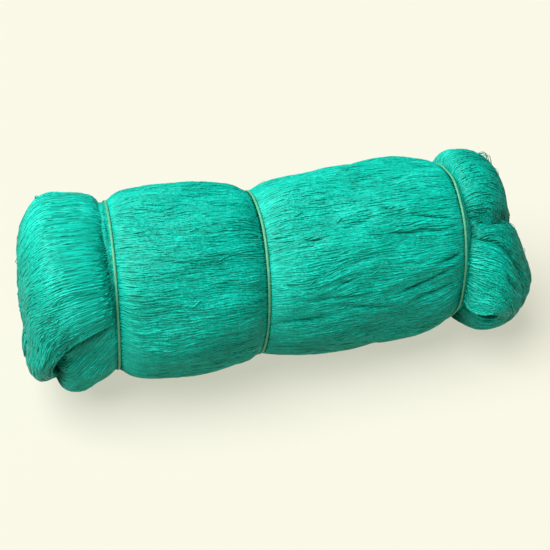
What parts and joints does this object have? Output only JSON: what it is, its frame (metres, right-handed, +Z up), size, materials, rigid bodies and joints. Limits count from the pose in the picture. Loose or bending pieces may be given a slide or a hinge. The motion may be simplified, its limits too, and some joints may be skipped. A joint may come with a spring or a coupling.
{
  "type": "bird netting roll, tied as a hank",
  "caption": "Hank of gathered knotted bird netting, folded back on itself at both ends and bound by tight twine ties, lying flat.",
  "frame": {"origin": "on the floor, under the centre of the whole hank's box", "axes": "+X along the hank, towards the end with the two side-by-side folds; +Z up; -Y is the front, where the end folds' hollows show"},
  "size_m": [0.6498, 0.2638, 0.2281],
  "materials": {
    "netting": "glossy green polyethylene net twine, gathered lengthwise, satin sheen",
    "tie_twine": "flat split-film polypropylene twine, pale yellow-green, semi-matt"
  },
  "bodies": {
    "root": {"net_hank": "netting", "tie_left": "tie_twine", "tie_middle": "tie_twine", "tie_right": "tie_twine"}
  },
  "joints": []
}
